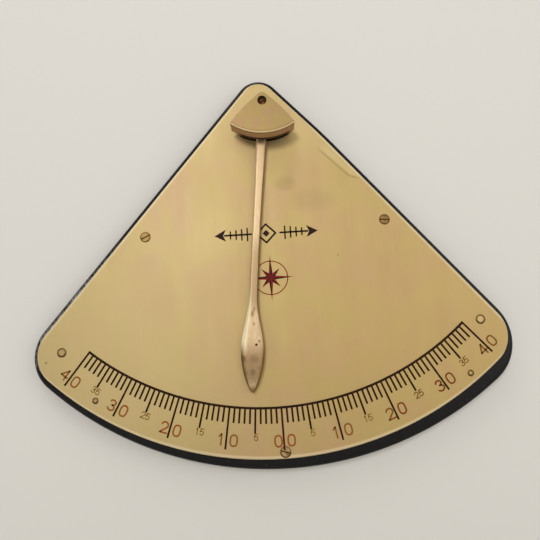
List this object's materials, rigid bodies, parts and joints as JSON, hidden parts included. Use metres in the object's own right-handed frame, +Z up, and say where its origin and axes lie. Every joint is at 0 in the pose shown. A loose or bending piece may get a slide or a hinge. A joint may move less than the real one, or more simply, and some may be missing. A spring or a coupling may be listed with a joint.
{
  "type": "wall clinometer",
  "caption": "Wall clinometer: a sector dial on a backing board, read by a pendulum that swings on a bolt under a wedge-shaped pivot cover to show an angle of list.",
  "frame": {"origin": "the centre of the printed scale, on the board's back face, which lies against the wall", "axes": "+Z up along the line from the zero mark to the scale's centre, +Y into the wall, +X to the right as one reads the dial"},
  "size_m": [0.2984, 0.0301, 0.2502],
  "materials": {
    "board_lacquer": "black gloss lacquer",
    "dial_brass": "brushed and lacquered",
    "print_enamel": "baked enamel",
    "cover_brass": "dull cast brass",
    "bolt_brass": "machined",
    "washer_brass": "machined",
    "pendulum_brass": "worn polish",
    "bush_bronze": "machined bronze",
    "screw_brass": "tarnished",
    "pin_brass": "filed flush",
    "hanger_steel": "zinc plated"
  },
  "bodies": {
    "dial_board": {"backing_board": "board_lacquer", "dial_plate": "dial_brass", "scale_print": "print_enamel", "pivot_cover": "cover_brass", "pivot_bolt": "bolt_brass", "pivot_nut": "bolt_brass", "nut_washer": "bolt_brass", "rear_thrust_washer": "washer_brass", "front_thrust_washer": "washer_brass", "dial_screw_left": "screw_brass", "dial_screw_right": "screw_brass", "dial_screw_bottom": "screw_brass", "corner_pin_left": "pin_brass", "corner_pin_right": "pin_brass", "scale_pin_left": "pin_brass", "scale_pin_right": "pin_brass", "hanger_plate": "hanger_steel", "hanger_screw_left": "hanger_steel", "hanger_screw_right": "hanger_steel"},
    "pendulum_arm": {"pendulum": "pendulum_brass", "pendulum_bush": "bush_bronze"}
  },
  "joints": [
    {"name": "pendulum_swing", "type": "hinge", "parent": "dial_board", "child": "pendulum_arm", "pos_m": [0.0033, -0.01685, 0.0097], "axis": [0, -1, 0], "range_deg": [-33.3, 44.7]}
  ]
}
